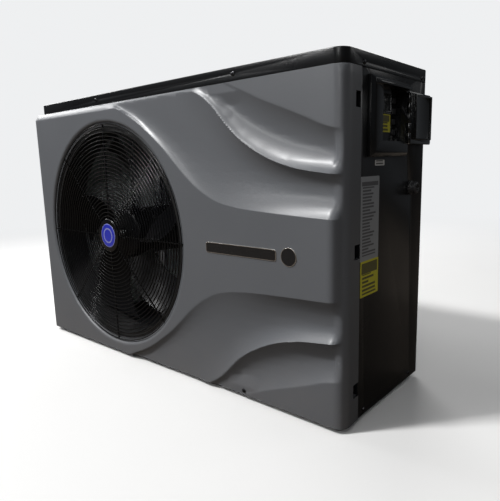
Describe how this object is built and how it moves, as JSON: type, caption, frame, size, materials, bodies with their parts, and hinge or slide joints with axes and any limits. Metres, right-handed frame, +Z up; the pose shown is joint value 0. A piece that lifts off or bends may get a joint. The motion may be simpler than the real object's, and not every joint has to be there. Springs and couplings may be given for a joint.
{
  "type": "pool heat pump unit",
  "caption": "Side-discharge swimming pool heat pump: waved grey front panel with a guarded fan, black cabinet, side controls under a hinged cover, rear water unions",
  "frame": {"origin": "bottom centre of the whole unit's box, on the floor", "axes": "+X to the right seen from the fan side, where the controls are; +Y from the fan side to the rear; +Z up"},
  "size_m": [1.0154, 0.4044, 0.66],
  "materials": {
    "black_steel": "semi-gloss black powder coat",
    "grey_plastic": "satin charcoal-grey moulding",
    "zinc_steel": "galvanised",
    "black_wire": "black coated wire",
    "black_plastic": "matte black",
    "fan_plastic": "matte black, glass filled",
    "badge_black": "gloss black with a pale rim",
    "blue_badge": "domed blue badge",
    "rubber": "moulded rubber",
    "steel": "machined",
    "screw_steel": "zinc plated",
    "motor_paint": "black enamel",
    "fin_aluminium": "bare fin stock",
    "copper": "drawn copper tube",
    "black_paint": "black enamel",
    "titanium": "titanium tube",
    "brass": "brass",
    "board_green": "coated board",
    "control_plastic": "black ABS",
    "cover_plastic": "smoked cover",
    "lens_tint": "tinted window",
    "key_rubber": "silicone keys",
    "gland_nylon": "nylon",
    "label_film": "printed film"
  },
  "bodies": {
    "cabinet": {"base_pan": "black_steel", "feet": "rubber", "front_panel": "grey_plastic", "top_cover": "black_steel", "front_rail": "zinc_steel", "right_side_panel": "black_steel", "rear_service_panel": "black_steel", "left_posts": "black_steel", "trim_badge": "badge_black", "rear_guard": "black_wire", "left_guard": "black_wire", "partition": "zinc_steel", "fan_shroud": "black_plastic", "fan_guard": "black_wire", "guard_badge": "blue_badge", "fan_motor": "motor_paint", "motor_bracket": "zinc_steel", "top_beam": "zinc_steel", "motor_screws": "steel", "coil_fins": "fin_aluminium", "coil_stand": "rubber", "coil_bends": "copper", "compressor": "black_paint", "compressor_mounts": "rubber", "compressor_bolts": "steel", "accumulator": "black_paint", "exchanger_shell": "black_plastic", "titanium_coil": "titanium", "port_grommets": "rubber", "union_seals": "rubber", "union_tails": "black_plastic", "union_nuts": "black_plastic", "reversing_valve": "brass", "discharge_pipe": "copper", "suction_pipe": "copper", "water_gas_pipe": "copper", "coil_gas_pipe": "copper", "expansion_valve": "brass", "liquid_pipes": "copper", "drain_stub": "black_plastic", "electrical_box": "zinc_steel", "circuit_board": "board_green", "run_capacitor": "fin_aluminium", "contactor": "black_plastic", "terminal_block": "black_plastic", "control_housing": "control_plastic", "hinge_pin": "steel", "display_module": "control_plastic", "display_lens": "lens_tint", "cable_gland": "gland_nylon", "labels": "label_film", "casing_screws": "screw_steel"},
    "fan": {"fan_rotor": "fan_plastic", "fan_shaft": "steel", "fan_nut": "steel"},
    "control_cover_body": {"control_cover": "cover_plastic"},
    "key_1_body": {"key_1": "key_rubber"},
    "key_2_body": {"key_2": "key_rubber"},
    "key_3_body": {"key_3": "key_rubber"},
    "key_4_body": {"key_4": "key_rubber"}
  },
  "joints": [
    {"name": "fan_spin", "type": "hinge", "parent": "cabinet", "child": "fan", "pos_m": [-0.17775, -0.1538, 0.314], "axis": [0, 1, 0], "continuous": true},
    {"name": "control_cover_hinge", "type": "hinge", "parent": "cabinet", "child": "control_cover_body", "pos_m": [0.49825, 0.0362, 0.5595], "axis": [0, 0, 1], "range_deg": [-176, 0]},
    {"name": "key_1_press", "type": "slide", "parent": "cabinet", "child": "key_1_body", "axis": [1, 0, 0], "range_m": [-0.001, 0], "stiffness_N_per_m": 600, "springref_m": 0.0006},
    {"name": "key_2_press", "type": "slide", "parent": "cabinet", "child": "key_2_body", "axis": [1, 0, 0], "range_m": [-0.001, 0], "stiffness_N_per_m": 600, "springref_m": 0.0006},
    {"name": "key_3_press", "type": "slide", "parent": "cabinet", "child": "key_3_body", "axis": [1, 0, 0], "range_m": [-0.001, 0], "stiffness_N_per_m": 600, "springref_m": 0.0006},
    {"name": "key_4_press", "type": "slide", "parent": "cabinet", "child": "key_4_body", "axis": [1, 0, 0], "range_m": [-0.001, 0], "stiffness_N_per_m": 600, "springref_m": 0.0006}
  ]
}
